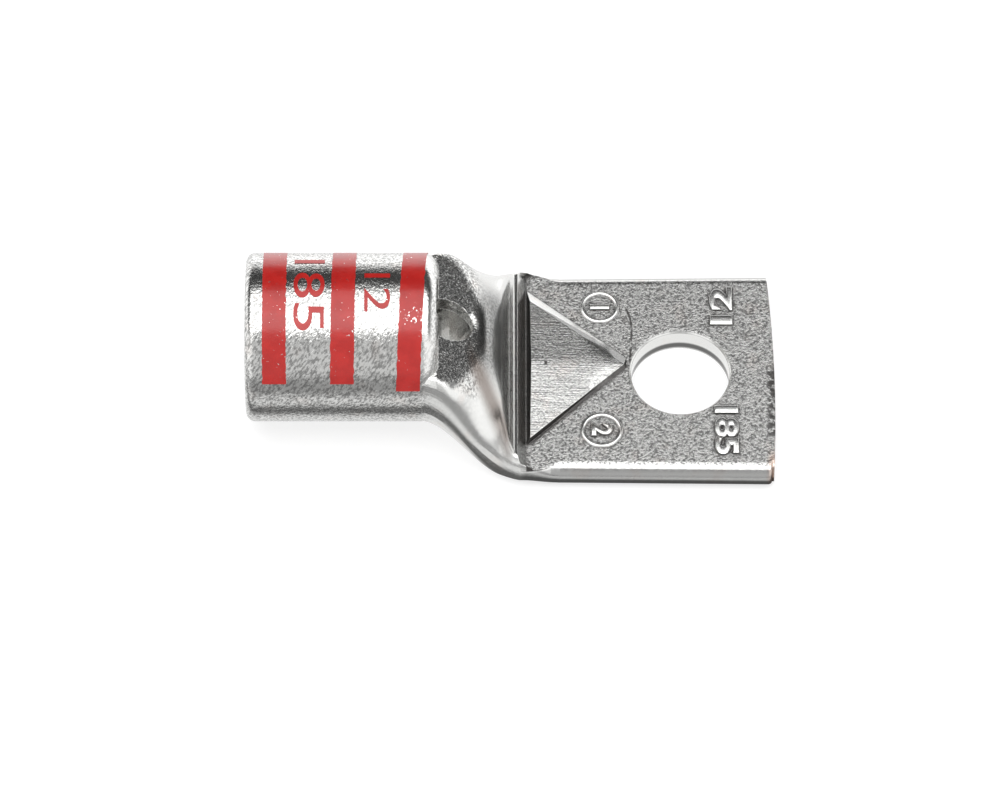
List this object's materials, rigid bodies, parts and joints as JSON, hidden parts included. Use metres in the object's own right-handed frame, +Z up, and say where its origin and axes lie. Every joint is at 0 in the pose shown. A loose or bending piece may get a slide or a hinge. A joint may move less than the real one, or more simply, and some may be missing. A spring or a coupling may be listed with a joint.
{
  "type": "copper cable lug",
  "caption": "Tin-plated copper compression lug: an open barrel for the cable, a stepped neck with a peep hole, and a flat tongue with a stud hole.",
  "frame": {"origin": "centre of the stud hole, on the underside of the tongue", "axes": "+Z up through the stud hole, out of the face that the nut clamps; -X along the barrel towards its mouth; +Y across the tongue"},
  "size_m": [0.072, 0.0338, 0.0235],
  "materials": {
    "tinned_copper": "bright tin plating over copper, tumbled",
    "red_ink": "printed marking ink, satin"
  },
  "bodies": {
    "root": {"lug": "tinned_copper", "mouth_band": "red_ink", "middle_band": "red_ink", "neck_band": "red_ink"}
  },
  "joints": []
}
